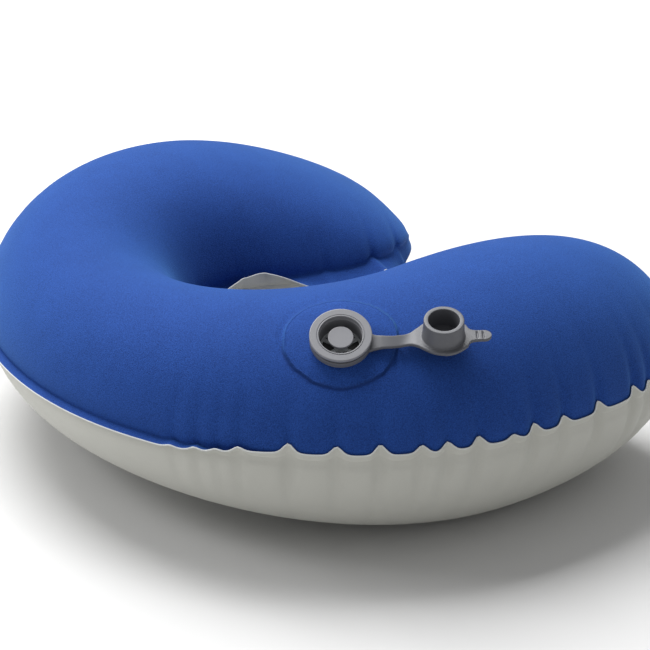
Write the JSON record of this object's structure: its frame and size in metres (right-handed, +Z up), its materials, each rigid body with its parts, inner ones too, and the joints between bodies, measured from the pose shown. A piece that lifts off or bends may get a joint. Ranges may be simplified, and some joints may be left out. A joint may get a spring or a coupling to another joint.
{
  "type": "inflatable neck pillow",
  "caption": "U-shaped inflatable travel pillow with a welded flange, a knit top, a coated underside and a push-button air valve with a strapped stopper.",
  "frame": {"origin": "centre of the bounding box on the floor that the pillow lies on", "axes": "+Z up, +X from the back of the neck towards the opening between the arms, the valve's arm towards -Y"},
  "size_m": [0.3084, 0.3836, 0.1211],
  "materials": {
    "knit": "matte brushed knit",
    "coated_fabric": "smooth coated weave",
    "film": "translucent airtight film",
    "valve_plastic": "satin moulded",
    "strap_plastic": "satin soft moulding",
    "clear_plastic": "clear moulded",
    "seal_rubber": "matte"
  },
  "bodies": {
    "pillow": {"top_panel": "knit", "bottom_panel": "coated_fabric", "top_liner": "film", "bottom_liner": "film", "valve_base": "valve_plastic"},
    "insert": {"valve_insert": "valve_plastic", "seal_ring": "seal_rubber", "check_seat": "clear_plastic"},
    "button": {"release_button": "valve_plastic", "flap_membrane": "seal_rubber"},
    "collar": {"strap_collar": "strap_plastic"},
    "link": {"strap_link": "strap_plastic"},
    "end": {"strap_end": "strap_plastic"},
    "stopper": {"stopper_cap": "strap_plastic"}
  },
  "joints": [
    {"name": "insert_pull", "type": "slide", "parent": "pillow", "child": "insert", "axis": [-0.3304, -0.4187, 0.8459], "range_m": [0, 0.01]},
    {"name": "button_press", "type": "slide", "parent": "insert", "child": "button", "axis": [-0.3304, -0.4187, 0.8459], "range_m": [-0.0022, 0], "stiffness_N_per_m": 300, "springref_m": 0.0005},
    {"name": "collar_turn", "type": "hinge", "parent": "pillow", "child": "collar", "pos_m": [-0.05708, -0.13299, 0.10503], "axis": [-0.3304, -0.4187, 0.8459], "continuous": true},
    {"name": "strap_fold_1", "type": "hinge", "parent": "collar", "child": "link", "pos_m": [-0.0413, -0.14515, 0.1076], "axis": [0.4608, 0.7106, 0.5317], "range_deg": [-90, 0]},
    {"name": "strap_fold_2", "type": "hinge", "parent": "link", "child": "end", "pos_m": [-0.03714, -0.148, 0.10781], "axis": [0.4608, 0.7106, 0.5317], "range_deg": [-90, 0]},
    {"name": "stopper_twist", "type": "hinge", "parent": "end", "child": "stopper", "pos_m": [-0.03388, -0.15025, 0.10798], "axis": [-0.8237, 0.5654, -0.0418], "range_deg": [-12.5, 4]}
  ]
}
